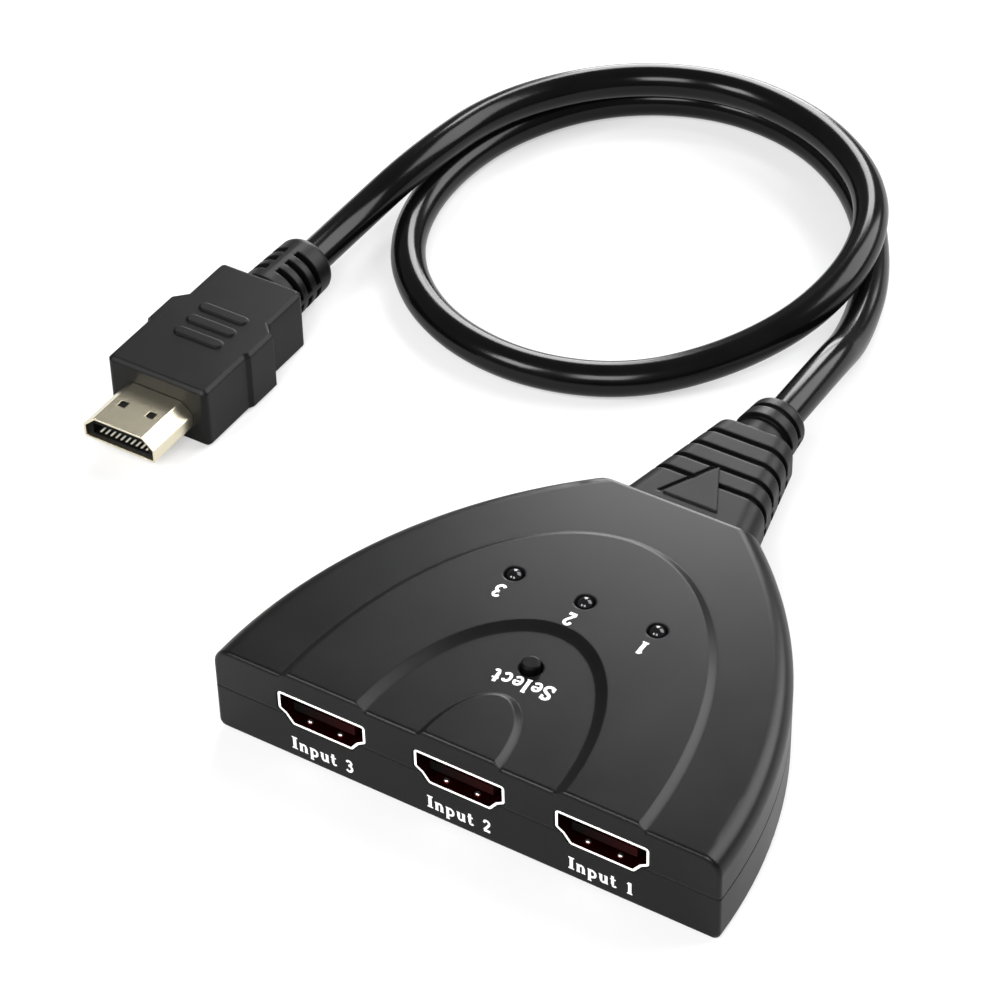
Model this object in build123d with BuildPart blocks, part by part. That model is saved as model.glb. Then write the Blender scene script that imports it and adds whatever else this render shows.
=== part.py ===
"""Three-way switch box for digital video, with a fixed lead that ends in a 19-pin plug.

Frame: millimetres, +X to the right and +Y towards the lead when the sockets face the viewer, +Z up.
The origin is the middle of the housing's footprint on the table.
"""
import os
from math import asin, degrees, pi, radians, sqrt, tan

from build123d import *

os.makedirs("parts", exist_ok=True)

# Housing
front_width = 84.0
back_width = 28.5
box_depth = 62.0
border_height = 15.5
parting_height = 8.2
wall = 2.0
roof = 1.8
floor = 2.0
shoulder_radius = 3.0
front_edge_radius = 0.6
back_edge_radius = 1.0
base_edge_radius = 1.2
parting_chamfer = 0.15
lip_height = 0.9
lip_width = 0.9
lip_clearance = 0.1
overrun = 1.0

# Arches on the top: half ellipses that stand on the front edge
plateau_half_width = 30.2
plateau_length = 51.0
plateau_rise = 0.8
plateau_slope = 1.3
recess_half_width = 17.3
recess_length = 28.9
recess_depth = 0.8
recess_slope = 1.75
island_half_width = 6.9
island_length = 13.1
island_rise = 0.8
island_slope = 1.1

# Screws and their bosses
screw_front_inset = 11.0
screw_back_inset = 13.0
boss_radius = 2.8
boss_gap = 1.0
screw_hole_radius = 1.3
screw_core_radius = 1.0
screw_pilot_clearance = 0.05
screw_head_radius = 2.0
screw_head_height = 1.4
screw_head_inset = 1.0
screw_head_clearance = 0.3
screw_length = 10.0
screw_cross_width = 0.6
screw_cross_length = 2.4
screw_cross_depth = 0.8

# Circuit board and its posts
board_thickness = 1.6
board_front_gap = 0.3
board_side_gap = 2.2
board_boss_gap = 0.6
board_back_gap = 1.9
board_straight = 22.0
board_hole_clearance = 0.1
peg_radius = 0.8
peg_length = 1.3
post_radius = 1.8
post_inset = 3.0
post_from_front = 20.0
rib_radius = 1.5

# Sockets
socket_pitch = 23.3
socket_half_width = 7.5
socket_height = 5.65
socket_bottom = 6.6
socket_side = 3.3
socket_step = 1.2
socket_step_drop = 0.75
socket_foot_half = 5.1
socket_corner_radius = 0.6
socket_sheet = 0.4
socket_depth = 11.5
socket_recess = 0.1
socket_clearance = 0.15
leg_width = 1.0
leg_length = 3.4
leg_front = 3.8
leg_spacing = 5.0
leg_clearance = 0.15
latch_width = 2.4
latch_length = 4.4
latch_slit = 0.35
latch_start = 2.6
latch_offset = 3.0
tongue_half_width = 5.25
tongue_thickness = 1.6
tongue_recess = 0.7
tongue_from_top = 1.75
block_depth = 2.6
block_gap = 0.05
contact_pitch = 1.0
contact_width = 0.36
contact_sheet = 0.15
contact_gap = 0.03
contact_start = 0.5
upper_contacts = 10
lower_contacts = 9
upper_tail_inset = 0.5
lower_tail_inset = 1.3
tail_opening = 1.7

# Push switch and its button
button_from_front = 19.7
switch_side = 6.0
switch_base_height = 3.0
switch_cavity_radius = 2.5
switch_floor = 1.0
switch_frame_sheet = 0.3
switch_frame_hole_radius = 1.8
switch_tab_width = 2.0
switch_tab_height = 1.6
switch_pin_width = 0.7
switch_pin_spread = 4.5
switch_pin_rise = 1.2
switch_pin_length = 3.3
dome_radius = 2.2
dome_rise = 0.55
dome_sheet = 0.12
button_radius = 1.45
button_flange_radius = 2.15
button_flange_height = 1.05
button_gap = 0.06
button_proud = 1.15
button_edge_radius = 0.3
button_hole_radius = 1.85

# Lamps
lamp_board_inset = 9.4
lamp_pitch = 12.1
lamp_radius = 1.4
lamp_flange_radius = 1.8
lamp_flange_height = 1.0
lamp_flange_flat = 1.6
lamp_length = 5.3
lamp_proud = 0.55
lamp_hole_radius = 1.62
lamp_collar_radius = 2.7
lamp_collar_length = 1.0
lamp_lead_side = 0.5
lamp_lead_pitch = 2.54
lamp_lead_stub = 1.2
lamp_lead_hole_radius = 0.45

# Switching chip
chip_side = 10.0
chip_height = 1.4
chip_x = -20.5
chip_from_front = 22.0
chip_standoff = 0.1
chip_edge = 0.25
chip_mark_radius = 0.5
chip_mark_depth = 0.1
chip_mark_inset = 1.4
chip_leads_per_side = 16
chip_lead_pitch = 0.5
chip_lead_width = 0.22
chip_lead_sheet = 0.14
chip_lead_knee = 0.35
chip_lead_reach = 1.0

# Voltage regulator
regulator_length = 6.5
regulator_width = 3.5
regulator_height = 1.6
regulator_x = 20.5
regulator_from_front = 22.0
regulator_edge = 0.3
regulator_leads = 3
regulator_lead_pitch = 2.3
regulator_lead_width = 0.75
regulator_tab_width = 3.0
regulator_lead_sheet = 0.26
regulator_lead_knee = 0.6
regulator_lead_reach = 1.7

# Small chips on the board
small_chip_length = 1.6
small_chip_width = 0.8
small_chip_edge = 0.08
capacitor_height = 0.8
capacitor_count = 12
capacitor_pitch = 3.3
capacitor_from_front = 14.7
resistor_height = 0.45
resistor_count = 7
resistor_pitch = 2.6
resistor_board_inset = 5.0

# Strain relief
gland_height = 7.6
gland_root_half = 12.2
gland_tip_half = 6.8
gland_half_height = 4.7
gland_corner_radius = 3.3
gland_length = 24.8
gland_end_radius = 0.5
gland_seat_gap = 0.1
gland_groove_width = 1.1
gland_groove_depth = 0.9
gland_groove_web = 0.6
gland_groove_first = 9.6
gland_groove_pitch = 3.85
gland_groove_count = 4
neck_half_width = 9.6
neck_half_height = 3.9
neck_corner_radius = 2.4
flange_lip = 0.9
flange_thickness = 2.2
collar_waist_radius = 4.6
collar_waist_length = 1.9
collar_root_radius = 5.3
collar_tip_radius = 4.7
collar_length = 6.6
collar_edge_radius = 1.2
collar_groove_width = 1.0
collar_groove_depth = 0.8
collar_groove_first = 0.5
collar_groove_pitch = 3.1
collar_groove_count = 2
pointer_start = 4.0
pointer_half_width = 4.7
pointer_length = 9.2
pointer_rise = 0.25
pointer_cut_side = 1.2
pointer_cut_width = 0.8
pointer_cut_depth = 0.5

# Lead and its cores
cable_diameter = 6.0
jacket_stub = 3.4
shield_radius = 2.3
shield_stub = 1.6
core_radius = 0.3
core_count = 9
core_start_pitch = 0.42
core_start_rise = 0.5
core_pad_pitch = 2.3
core_pad_length = 2.5
core_run_out = 1.5
core_landing_gap = 1.4
core_bend = 2.0

# Plug
plug_x = -89.4
plug_front_y = 19.8
plug_height = 11.3
plug_front_half = 9.7
plug_grip_half = 10.2
plug_rear_half = 8.1
plug_grip_start = 11.2
plug_grip_end = 18.4
plug_step = 0.8
plug_rear_step = 2.1
plug_length = 30.2
plug_edge_chamfer = 0.6
plug_front_radius = 1.0
plug_rear_radius = 1.2
plug_bar_length = 9.3
plug_bar_shift = 0.4
plug_bar_width = 1.9
plug_bar_rise = 0.3
plug_bar_edge = 0.15
plug_bar_first = 11.4
plug_bar_pitch = 3.55
plug_bar_count = 3
boot_root_radius = 5.6
boot_tip_radius = 5.2
boot_length = 13.1
boot_edge_radius = 1.5
boot_slot_width = 1.35
boot_slot_depth = 1.3
boot_slot_first = 2.9
boot_slot_pitch = 2.7
boot_slot_count = 3
boot_spine = 1.8
boot_web = 0.7
plug_shell_half = 6.95
plug_shell_height = 4.45
plug_shell_side = 2.5
plug_shell_narrow_half = 4.75
plug_shell_radius = 0.5
plug_shell_sheet = 0.35
plug_shell_reach = 10.6
plug_shell_seat = 7.0
plug_shell_gap = 0.05
plug_latch_side = 1.5
plug_latch_offset = 2.75
plug_latch_from_tip = 5.3
inner_mould_length = 9.0
inner_mould_half_width = 6.4
inner_mould_half_height = 3.6
plug_core_recess = 0.5
plug_mouth_half = 5.4
plug_mouth_height = 2.0
plug_mouth_from_wide_side = 1.95
plug_mouth_depth = 8.4
plug_contact_start = 0.6

# Route of the lead from the strain relief to the plug, as it lies on the table
cord_route = [
    (0, 64.3, 7.6),
    (0, 80, 7.6),
    (-2, 94, 3.2),
    (-7, 111, 3),
    (-18, 129, 3),
    (-35, 141, 3),
    (-55, 143, 3),
    (-73, 133.5, 3),
    (-83.5, 116, 3),
    (-85.5, 95.5, 3),
    (-79.5, 76, 3),
    (-65, 63, 3),
    (-46.5, 59, 3),
    (-29, 64.5, 3),
    (-17, 77, 4),
    (-8.5, 91.5, 7.3),
    (-7.5, 109, 9.9),
    (-15, 125, 9.8),
    (-30.5, 136.5, 9.6),
    (-50.5, 140, 9.6),
    (-69.5, 132, 9.6),
    (-83, 114, 9.6),
    (-86, 92.5, 9.8),
    (-89.4, 77.5, 5.65),
    (-89.4, 63.1, 5.65),
]
cord_bend_share = 0.45
cord_samples = 600
cord_skip_share = 6

# Places that follow from the sizes above
front_y = -box_depth / 2
back_y = box_depth / 2
narrowing = (front_width - back_width) / 2
side_radius = (box_depth**2 + narrowing**2) / (2 * narrowing)
arc_centre_x = front_width / 2 - side_radius
plateau_top = border_height + plateau_rise
recess_top = plateau_top - recess_depth
island_top = recess_top + island_rise
ceiling = border_height - roof
board_top = socket_bottom
board_bottom = board_top - board_thickness
screw_front_y = front_y + screw_front_inset
screw_back_y = back_y - screw_back_inset
board_front = front_y + wall + board_front_gap
board_back = screw_back_y - boss_radius - board_back_gap
post_front_y = front_y + post_from_front
button_y = front_y + button_from_front
lamp_y = board_back - lamp_board_inset
chip_y = front_y + chip_from_front
regulator_y = front_y + regulator_from_front
capacitor_y = front_y + capacitor_from_front
resistor_y = board_back - resistor_board_inset
socket_top = socket_bottom + socket_height
socket_mouth = front_y + socket_recess
socket_back = socket_mouth + socket_depth - socket_sheet
tongue_top = socket_top - tongue_from_top
tongue_bottom = tongue_top - tongue_thickness
socket_places = {3: -socket_pitch, 2: 0, 1: socket_pitch}
lamp_places = {3: -lamp_pitch, 2: 0, 1: lamp_pitch}
lamp_top = plateau_top + lamp_proud
lamp_bottom = lamp_top - lamp_length
switch_top = board_top + switch_base_height
dome_floor = board_top + switch_floor
gland_end = back_y + gland_length
collar_start = gland_end + collar_waist_length
neck_inner_y = back_y - wall
flange_inner_y = neck_inner_y - flange_thickness
plug_axis = plug_height / 2
plug_shell_bottom = plug_axis - plug_shell_height / 2
plug_shell_tip = plug_front_y - plug_shell_reach
plug_core_end = plug_front_y + plug_shell_seat
plug_mouth_y = plug_shell_tip + plug_core_recess
plug_mouth_centre = plug_shell_bottom + plug_mouth_from_wide_side
plug_end = plug_front_y + plug_length


def half_width_at(y, inset):
    """Half the width at y of the housing's plan, smaller all round by inset."""
    return arc_centre_x + sqrt((side_radius - inset) ** 2 - (y - front_y) ** 2)


def mirrored(points):
    """The same places on both sides of the middle plane."""
    return [(side * x, y) for x, y in points for side in (-1, 1)]


def upright(y, x=0):
    """Plane that stands across the object at y, with X to the right and its second axis up."""
    return Plane(origin=(x, y, 0), x_dir=(1, 0, 0), z_dir=(0, -1, 0))


def housing_plan(inset):
    """The housing's plan, smaller all round by inset."""
    radius = side_radius - inset
    low = degrees(asin(inset / radius))
    high = degrees(asin((box_depth - inset) / radius))
    with BuildSketch() as plan:
        with BuildLine():
            right = CenterArc((arc_centre_x, front_y), radius, low, high - low)
            left = CenterArc((-arc_centre_x, front_y), radius, 180 - high, high - low)
            Line(right @ 1, left @ 0)
            Line(left @ 1, right @ 0)
        make_face()
    return plan.sketch


def arch(half_width, length):
    """Half ellipse that stands on the front edge."""
    with BuildSketch() as field:
        with BuildLine():
            curve = EllipticalCenterArc((0, front_y), half_width, length, arc_size=180)
            Line(curve @ 1, curve @ 0)
        make_face()
    return field.sketch


def symmetric_profile(half, radius, growth):
    """Closed outline from its right half, with rounded corners, grown all round by growth."""
    with BuildSketch() as profile:
        with BuildLine():
            Polyline(half + [(-x, z) for x, z in reversed(half)], close=True)
        make_face()
        fillet(profile.vertices(), radius=radius)
        if growth:
            offset(amount=growth, mode=Mode.REPLACE)
    return profile.sketch


def socket_profile(growth):
    """A socket's outer profile, wide side up."""
    shoulder = socket_top - socket_side
    half = [
        (socket_half_width, socket_top),
        (socket_half_width, shoulder),
        (socket_half_width - socket_step, shoulder - socket_step_drop),
        (socket_foot_half, socket_bottom),
    ]
    return symmetric_profile(half, socket_corner_radius, growth)


def plug_profile(growth):
    """The plug shell's outer profile, wide side down."""
    half = [
        (plug_shell_half, plug_shell_bottom),
        (plug_shell_half, plug_shell_bottom + plug_shell_side),
        (plug_shell_narrow_half, plug_shell_bottom + plug_shell_height),
    ]
    return symmetric_profile(half, plug_shell_radius, growth)


def lead_profile(start, start_height, knee, reach, sheet):
    """Side view of a lead that leaves a body at start, steps down and rests on the board."""
    with BuildSketch() as profile:
        with BuildLine():
            Polyline(
                (start, start_height),
                (start + knee + sheet, start_height),
                (start + knee + sheet, board_top + sheet),
                (start + reach, board_top + sheet),
                (start + reach, board_top),
                (start + knee, board_top),
                (start + knee, start_height - sheet),
                (start, start_height - sheet),
                close=True,
            )
        make_face()
    return profile.sketch


def socket_blades(growth):
    """All contacts of the middle socket, thicker all round by growth."""
    width = contact_width + 2 * growth
    sheet = contact_sheet + 2 * growth
    start = socket_mouth + tongue_recess + contact_start - growth
    rows = [
        (upper_contacts, tongue_top - contact_sheet / 2, socket_back - upper_tail_inset),
        (lower_contacts, tongue_bottom + contact_sheet / 2, socket_back - lower_tail_inset),
    ]
    with BuildPart() as blades:
        for count, height, tail_y in rows:
            length = tail_y + sheet / 2 - start
            drop = height + sheet / 2 - board_top
            with Locations((0, start + length / 2, height)):
                with GridLocations(contact_pitch, contact_pitch, count, 1):
                    Box(width, length, sheet)
            with Locations((0, tail_y, board_top + drop / 2)):
                with GridLocations(contact_pitch, contact_pitch, count, 1):
                    Box(width, sheet, drop)
    return blades.part


def plug_blades(growth):
    """All contacts of the plug, thicker all round by growth."""
    start = plug_mouth_y + plug_contact_start - growth
    length = plug_core_end - start
    rise = (plug_mouth_height + contact_sheet) / 2
    with BuildPart() as blades:
        for count, height in ((upper_contacts, -rise), (lower_contacts, rise)):
            with Locations((plug_x, start + length / 2, plug_mouth_centre + height)):
                with GridLocations(contact_pitch, contact_pitch, count, 1):
                    Box(contact_width + 2 * growth, length, contact_sheet + 2 * growth)
    return blades.part


# Places of the screws, of the board's corners and of the posts that carry it
boss_inset = wall + boss_gap + boss_radius
screw_front_x = half_width_at(screw_front_y, boss_inset)
screw_back_x = half_width_at(screw_back_y, boss_inset)
screw_places = mirrored([(screw_front_x, screw_front_y), (screw_back_x, screw_back_y)])
board_front_half = screw_front_x - boss_radius - board_boss_gap
board_back_half = half_width_at(board_back, wall + board_side_gap)
post_places = mirrored(
    [
        (board_front_half - post_inset, post_front_y),
        (board_back_half - 2 * post_inset, board_back - post_inset),
    ]
)
lamp_spots = [(x, lamp_y) for x in lamp_places.values()]

# The raised fields of the top, each with its front edge rounded
with BuildPart() as plateau:
    with BuildSketch(Plane.XY.offset(border_height)):
        add(arch(plateau_half_width, plateau_length))
    with BuildSketch(Plane.XY.offset(plateau_top)):
        add(arch(plateau_half_width - plateau_slope, plateau_length - plateau_slope))
    loft()
    with BuildSketch(Plane.XY.offset(border_height)):
        add(arch(plateau_half_width, plateau_length))
    extrude(amount=-2 * front_edge_radius)
    fillet(edges().filter_by(Axis.X).sort_by(Axis.Z)[-1], radius=front_edge_radius)

with BuildPart() as recess:
    with BuildSketch(Plane.XY.offset(recess_top)):
        add(arch(recess_half_width - recess_slope, recess_length - recess_slope))
    with BuildSketch(Plane.XY.offset(plateau_top)):
        add(arch(recess_half_width, recess_length))
    loft()
    with BuildSketch(Plane.XY.offset(plateau_top)):
        add(arch(recess_half_width, recess_length))
    extrude(amount=overrun)
    with BuildSketch(Plane.YZ):
        with Locations((front_y, recess_top)):
            Rectangle(front_edge_radius, front_edge_radius, align=(Align.MIN, Align.MAX))
        with Locations((front_y + front_edge_radius, recess_top - front_edge_radius)):
            Circle(front_edge_radius, mode=Mode.SUBTRACT)
    extrude(amount=recess_half_width - recess_slope, both=True)

with BuildPart() as island:
    with BuildSketch(Plane.XY.offset(recess_top)):
        add(arch(island_half_width, island_length))
    with BuildSketch(Plane.XY.offset(island_top)):
        add(arch(island_half_width - island_slope, island_length - island_slope))
    loft()
    with BuildSketch(Plane.XY.offset(recess_top)):
        add(arch(island_half_width, island_length))
    extrude(amount=-2 * front_edge_radius)
    fillet(edges().filter_by(Axis.X).sort_by(Axis.Z)[-1], radius=front_edge_radius)

# Upper half of the housing
with BuildPart() as top_cover:
    with BuildSketch(Plane.XY.offset(parting_height)):
        add(housing_plan(0))
    extrude(amount=border_height - parting_height)
    side_rims = faces().sort_by(Axis.Z)[-1].edges().filter_by(GeomType.CIRCLE)
    fillet(side_rims, radius=shoulder_radius)
    fillet(faces().sort_by(Axis.Y)[0].edges().sort_by(Axis.Z)[1:], radius=front_edge_radius)
    fillet(faces().sort_by(Axis.Y)[-1].edges().sort_by(Axis.Z)[1:], radius=back_edge_radius)
    chamfer(faces().sort_by(Axis.Z)[0].edges(), length=parting_chamfer)
    add(plateau.part)
    add(recess.part, mode=Mode.SUBTRACT)
    add(island.part)
    with BuildSketch(Plane.XY.offset(parting_height)):
        add(housing_plan(wall))
    extrude(amount=ceiling - parting_height, mode=Mode.SUBTRACT)
    with BuildSketch(Plane.XY.offset(parting_height)):
        add(housing_plan(wall - lip_width - lip_clearance))
    extrude(amount=lip_height + lip_clearance, mode=Mode.SUBTRACT)
    # Screw bosses, ribs that hold the board down and collars round the lamps
    with BuildSketch(Plane.XY.offset(parting_height)):
        with Locations(screw_places):
            Circle(boss_radius)
            Circle(screw_core_radius + screw_pilot_clearance, mode=Mode.SUBTRACT)
    extrude(amount=ceiling - parting_height)
    with BuildSketch(Plane.XY.offset(board_top)):
        with Locations(post_places):
            Circle(rib_radius)
    extrude(amount=ceiling - board_top)
    with BuildSketch(Plane.XY.offset(ceiling)):
        with Locations(lamp_spots):
            Circle(lamp_collar_radius)
    extrude(amount=-lamp_collar_length)
    # Holes for the lamps, the button, the sockets and the strain relief
    with BuildSketch(Plane.XY.offset(parting_height)):
        with Locations(lamp_spots):
            Circle(lamp_hole_radius)
        with Locations((0, button_y)):
            Circle(button_hole_radius)
    extrude(amount=plateau_top, mode=Mode.SUBTRACT)
    with BuildSketch(upright(front_y - overrun)):
        with Locations([(x, 0) for x in socket_places.values()]):
            add(socket_profile(socket_clearance))
    extrude(amount=-(wall + 2 * overrun), mode=Mode.SUBTRACT)
    with BuildSketch(upright(back_y + overrun)):
        with Locations((0, gland_height)):
            RectangleRounded(
                2 * (neck_half_width + gland_seat_gap),
                2 * (neck_half_height + gland_seat_gap),
                neck_corner_radius,
            )
    extrude(amount=wall + 2 * overrun, mode=Mode.SUBTRACT)
top_cover.part.label = "top_cover"
export_step(top_cover.part, "parts/top_cover.step")

# Lower half of the housing, with the lip that locates the upper half
with BuildPart() as bottom_cover:
    with BuildSketch(Plane.XY):
        add(housing_plan(0))
    extrude(amount=parting_height)
    base_rims = faces().sort_by(Axis.Z)[0].edges().filter_by(GeomType.CIRCLE)
    fillet(base_rims, radius=base_edge_radius)
    fillet(faces().sort_by(Axis.Y)[0].edges().sort_by(Axis.Z)[:-1], radius=front_edge_radius)
    fillet(faces().sort_by(Axis.Y)[-1].edges().sort_by(Axis.Z)[:-1], radius=back_edge_radius)
    chamfer(faces().sort_by(Axis.Z)[-1].edges(), length=parting_chamfer)
    with BuildSketch(Plane.XY.offset(floor)):
        add(housing_plan(wall))
    extrude(amount=parting_height, mode=Mode.SUBTRACT)
    with BuildSketch(Plane.XY.offset(parting_height)):
        add(housing_plan(wall - lip_width))
        add(housing_plan(wall), mode=Mode.SUBTRACT)
    extrude(amount=lip_height)
    # Screw bosses, and posts whose pegs locate the board
    with BuildSketch(Plane.XY.offset(floor)):
        with Locations(screw_places):
            Circle(boss_radius)
    extrude(amount=parting_height - floor)
    with BuildSketch(Plane.XY.offset(floor)):
        with Locations(post_places):
            Circle(post_radius)
    extrude(amount=board_bottom - floor)
    with BuildSketch(Plane.XY.offset(board_bottom)):
        with Locations(post_places):
            Circle(peg_radius)
    extrude(amount=peg_length)
    with BuildSketch(Plane.XY):
        with Locations(screw_places):
            Circle(screw_hole_radius)
    extrude(amount=parting_height, mode=Mode.SUBTRACT)
    with BuildSketch(Plane.XY):
        with Locations(screw_places):
            Circle(screw_head_radius + screw_head_clearance)
    extrude(amount=screw_head_inset + screw_head_height, mode=Mode.SUBTRACT)
    with BuildSketch(upright(front_y - overrun)):
        with Locations([(x, 0) for x in socket_places.values()]):
            add(socket_profile(socket_clearance))
    extrude(amount=-(wall + 2 * overrun), mode=Mode.SUBTRACT)
    with BuildSketch(upright(back_y + overrun)):
        with Locations((0, gland_height)):
            RectangleRounded(
                2 * (neck_half_width + gland_seat_gap),
                2 * (neck_half_height + gland_seat_gap),
                neck_corner_radius,
            )
    extrude(amount=wall + 2 * overrun, mode=Mode.SUBTRACT)
bottom_cover.part.label = "bottom_cover"
export_step(bottom_cover.part, "parts/bottom_cover.step")

# Four screws that come up through the lower half
with BuildPart() as housing_screws:
    with BuildSketch(Plane.XY.offset(screw_head_inset)):
        with Locations(screw_places):
            Circle(screw_head_radius)
    extrude(amount=screw_head_height)
    with BuildSketch(Plane.XY.offset(screw_head_inset + screw_head_height)):
        with Locations(screw_places):
            Circle(screw_core_radius)
    extrude(amount=screw_length)
    with BuildSketch(Plane.XY.offset(screw_head_inset)):
        with Locations(screw_places):
            Rectangle(screw_cross_length, screw_cross_width)
            Rectangle(screw_cross_width, screw_cross_length)
    extrude(amount=screw_cross_depth, mode=Mode.SUBTRACT)
housing_screws.part.label = "housing_screws"
export_step(housing_screws.part, "parts/housing_screws.step")

# Circuit board, with holes for the pegs, the socket legs, the switch pins and the lamp leads
leg_spots = [
    (x + side * (socket_half_width - socket_sheet / 2), socket_mouth + leg_front + row * leg_spacing)
    for x in socket_places.values()
    for side in (-1, 1)
    for row in (0, 1)
]
switch_pin_spots = [
    (side * (switch_side + switch_frame_sheet) / 2, button_y + row * switch_pin_spread / 2)
    for side in (-1, 1)
    for row in (-1, 1)
]
lamp_lead_spots = [(x + side * lamp_lead_pitch / 2, y) for x, y in lamp_spots for side in (-1, 1)]
with BuildPart() as circuit_board:
    board_corners = [
        (board_front_half, board_front),
        (board_front_half, board_front + board_straight),
        (board_back_half, board_back),
    ]
    with BuildSketch(Plane.XY.offset(board_bottom)):
        with BuildLine():
            Polyline(board_corners + [(-x, y) for x, y in reversed(board_corners)], close=True)
        make_face()
        with Locations(post_places):
            Circle(peg_radius + board_hole_clearance, mode=Mode.SUBTRACT)
        with Locations(leg_spots):
            Rectangle(socket_sheet + 2 * leg_clearance, leg_width + 2 * leg_clearance, mode=Mode.SUBTRACT)
        with Locations(switch_pin_spots):
            Rectangle(
                switch_frame_sheet + 2 * leg_clearance,
                switch_pin_width + 2 * leg_clearance,
                mode=Mode.SUBTRACT,
            )
        with Locations(lamp_lead_spots):
            Circle(lamp_lead_hole_radius, mode=Mode.SUBTRACT)
    extrude(amount=board_thickness)
circuit_board.part.label = "circuit_board"
export_step(circuit_board.part, "parts/circuit_board.step")

# Sheet-metal shell of a socket, with a back plate, two spring latches and four legs
with BuildPart() as socket_shell:
    with BuildSketch(upright(socket_mouth)):
        add(socket_profile(0))
    extrude(amount=-socket_depth)
    with BuildSketch(upright(socket_mouth)):
        add(socket_profile(-socket_sheet))
    extrude(amount=socket_mouth - socket_back, mode=Mode.SUBTRACT)
    with BuildSketch(Plane.XY.offset(socket_top)):
        with Locations(mirrored([(latch_offset, socket_mouth + latch_start)])):
            Rectangle(
                latch_width + 2 * latch_slit, latch_length + latch_slit, align=(Align.CENTER, Align.MIN)
            )
            Rectangle(latch_width, latch_length, align=(Align.CENTER, Align.MIN), mode=Mode.SUBTRACT)
    extrude(amount=-socket_sheet, mode=Mode.SUBTRACT)
    with BuildSketch(Plane.XY.offset(socket_bottom)):
        with Locations((0, socket_back)):
            Rectangle(
                (upper_contacts + 1) * contact_pitch, tail_opening, align=(Align.CENTER, Align.MAX)
            )
    extrude(amount=socket_sheet, mode=Mode.SUBTRACT)
    leg_top = socket_top - socket_side + socket_sheet
    with BuildSketch(Plane.XY.offset(leg_top)):
        with Locations(leg_spots[4:8]):
            Rectangle(socket_sheet, leg_width)
    extrude(amount=board_top - leg_length - leg_top)

# Plastic core of a socket: a block at the back and the tongue that carries the contacts
with BuildPart() as socket_core:
    with BuildSketch(upright(socket_back)):
        add(socket_profile(-(socket_sheet + block_gap)))
    extrude(amount=block_depth)
    with BuildSketch(Plane.XY.offset(tongue_bottom)):
        with Locations((0, socket_back)):
            Rectangle(
                2 * tongue_half_width,
                socket_back - socket_mouth - tongue_recess,
                align=(Align.CENTER, Align.MAX),
            )
    extrude(amount=tongue_thickness)
    add(socket_blades(contact_gap), mode=Mode.SUBTRACT)

for number, x in socket_places.items():
    with BuildPart() as input_shell:
        with Locations((x, 0, 0)):
            add(socket_shell.part)
    input_shell.part.label = f"input_{number}_shell"
    export_step(input_shell.part, f"parts/input_{number}_shell.step")
    with BuildPart() as input_insulator:
        with Locations((x, 0, 0)):
            add(socket_core.part)
    input_insulator.part.label = f"input_{number}_insulator"
    export_step(input_insulator.part, f"parts/input_{number}_insulator.step")
    with BuildPart() as input_contacts:
        with Locations((x, 0, 0)):
            add(socket_blades(0))
    input_contacts.part.label = f"input_{number}_contacts"
    export_step(input_contacts.part, f"parts/input_{number}_contacts.step")

# Push switch under the button: base, cover frame, pins and snap dome
with BuildPart() as select_switch_base:
    with BuildSketch(Plane.XY.offset(board_top)):
        with Locations((0, button_y)):
            Rectangle(switch_side, switch_side)
    extrude(amount=switch_base_height)
    with BuildSketch(Plane.XY.offset(dome_floor)):
        with Locations((0, button_y)):
            Circle(switch_cavity_radius)
    extrude(amount=switch_base_height, mode=Mode.SUBTRACT)
select_switch_base.part.label = "select_switch_base"
export_step(select_switch_base.part, "parts/select_switch_base.step")

with BuildPart() as select_switch_frame:
    frame_half = switch_side / 2 + switch_frame_sheet
    with BuildSketch(Plane.XY.offset(switch_top)):
        with Locations((0, button_y)):
            Rectangle(switch_side, switch_side)
            Rectangle(2 * frame_half, switch_tab_width)
            Circle(switch_frame_hole_radius, mode=Mode.SUBTRACT)
    extrude(amount=switch_frame_sheet)
    with BuildSketch(Plane.XY.offset(switch_top)):
        with Locations((0, button_y)):
            Rectangle(2 * frame_half, switch_tab_width)
            Rectangle(switch_side, switch_side, mode=Mode.SUBTRACT)
    extrude(amount=-switch_tab_height)
select_switch_frame.part.label = "select_switch_frame"
export_step(select_switch_frame.part, "parts/select_switch_frame.step")

with BuildPart() as select_switch_pins:
    with BuildSketch(Plane.XY.offset(board_top + switch_pin_rise)):
        with Locations(switch_pin_spots):
            Rectangle(switch_frame_sheet, switch_pin_width)
    extrude(amount=-(switch_pin_rise + switch_pin_length))
select_switch_pins.part.label = "select_switch_pins"
export_step(select_switch_pins.part, "parts/select_switch_pins.step")

with BuildPart() as select_switch_dome:
    dome_curve = (dome_radius**2 + dome_rise**2) / (2 * dome_rise)
    with Locations((0, button_y, dome_floor + dome_rise - dome_curve)):
        Sphere(dome_curve)
        Sphere(dome_curve - dome_sheet, mode=Mode.SUBTRACT)
    split(bisect_by=Plane.XY.offset(dome_floor), keep=Keep.TOP)
select_switch_dome.part.label = "select_switch_dome"
export_step(select_switch_dome.part, "parts/select_switch_dome.step")

# Button: a pin with a flange that the switch frame holds in
with BuildPart() as select_button:
    flange_floor = dome_floor + dome_rise + button_gap
    with BuildSketch(Plane.XY.offset(flange_floor)):
        with Locations((0, button_y)):
            Circle(button_flange_radius)
    extrude(amount=button_flange_height)
    with BuildSketch(Plane.XY.offset(flange_floor)):
        with Locations((0, button_y)):
            Circle(button_radius)
    extrude(amount=recess_top + button_proud - flange_floor)
    fillet(faces().sort_by(Axis.Z)[-1].edges(), radius=button_edge_radius)
select_button.part.label = "select_button"
export_step(select_button.part, "parts/select_button.step")

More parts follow.
